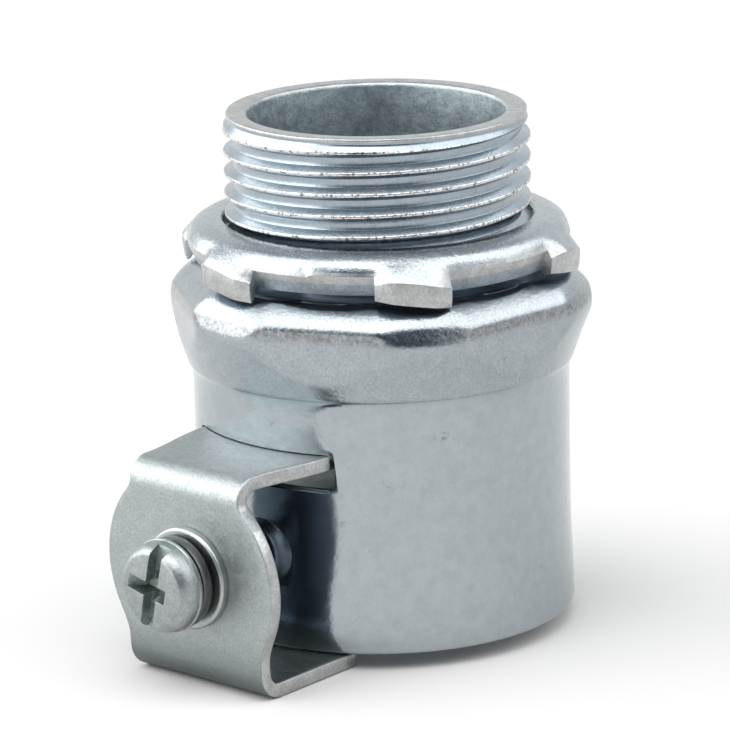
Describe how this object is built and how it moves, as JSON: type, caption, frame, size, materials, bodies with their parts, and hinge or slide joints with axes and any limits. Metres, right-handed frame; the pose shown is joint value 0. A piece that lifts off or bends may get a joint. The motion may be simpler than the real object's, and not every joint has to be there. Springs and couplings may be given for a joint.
{
  "type": "flexible conduit connector",
  "caption": "Straight screw-clamp connector for flexible metal conduit, with a threaded nipple, a stamped locknut and a strap that a screw draws against the conduit.",
  "frame": {"origin": "centre of the conduit socket's mouth, on the fitting's axis", "axes": "+Z along the fitting's axis from the socket to the threaded nipple, -Y towards the clamp strap and its screw head"},
  "size_m": [0.036, 0.0484, 0.0451],
  "materials": {
    "zinc_shell": "bright blue-white zinc plate on drawn steel, fine mottled grain",
    "zinc_locknut": "bright zinc plate on stamped steel, with matte sheared edges",
    "zinc_strap": "satin zinc plate on bent steel strip",
    "zinc_screw": "zinc plate on cold-headed steel",
    "zinc_washers": "satin zinc plate"
  },
  "bodies": {
    "shell": {"body": "zinc_shell"},
    "nut": {"locknut": "zinc_locknut"},
    "clamp": {"clamp_strap": "zinc_strap", "flat_washer": "zinc_washers", "spring_washer": "zinc_washers"},
    "screw": {"clamp_screw": "zinc_screw"}
  },
  "joints": [
    {"name": "locknut_travel", "type": "slide", "parent": "shell", "child": "nut", "axis": [0, 0, 1], "range_m": [0, 0.014]},
    {"name": "clamp_travel", "type": "slide", "parent": "shell", "child": "clamp", "axis": [0, 1, 0], "range_m": [0, 0.0036]},
    {"name": "screw_turn", "type": "hinge", "parent": "clamp", "child": "screw", "pos_m": [0, -0.0252, 0.0082], "axis": [0, 1, 0], "range_deg": [0, 1855]}
  ],
  "couplings": [
    {"joint": "screw_turn", "follows": "clamp_travel", "rad_per_m": 8976}
  ]
}
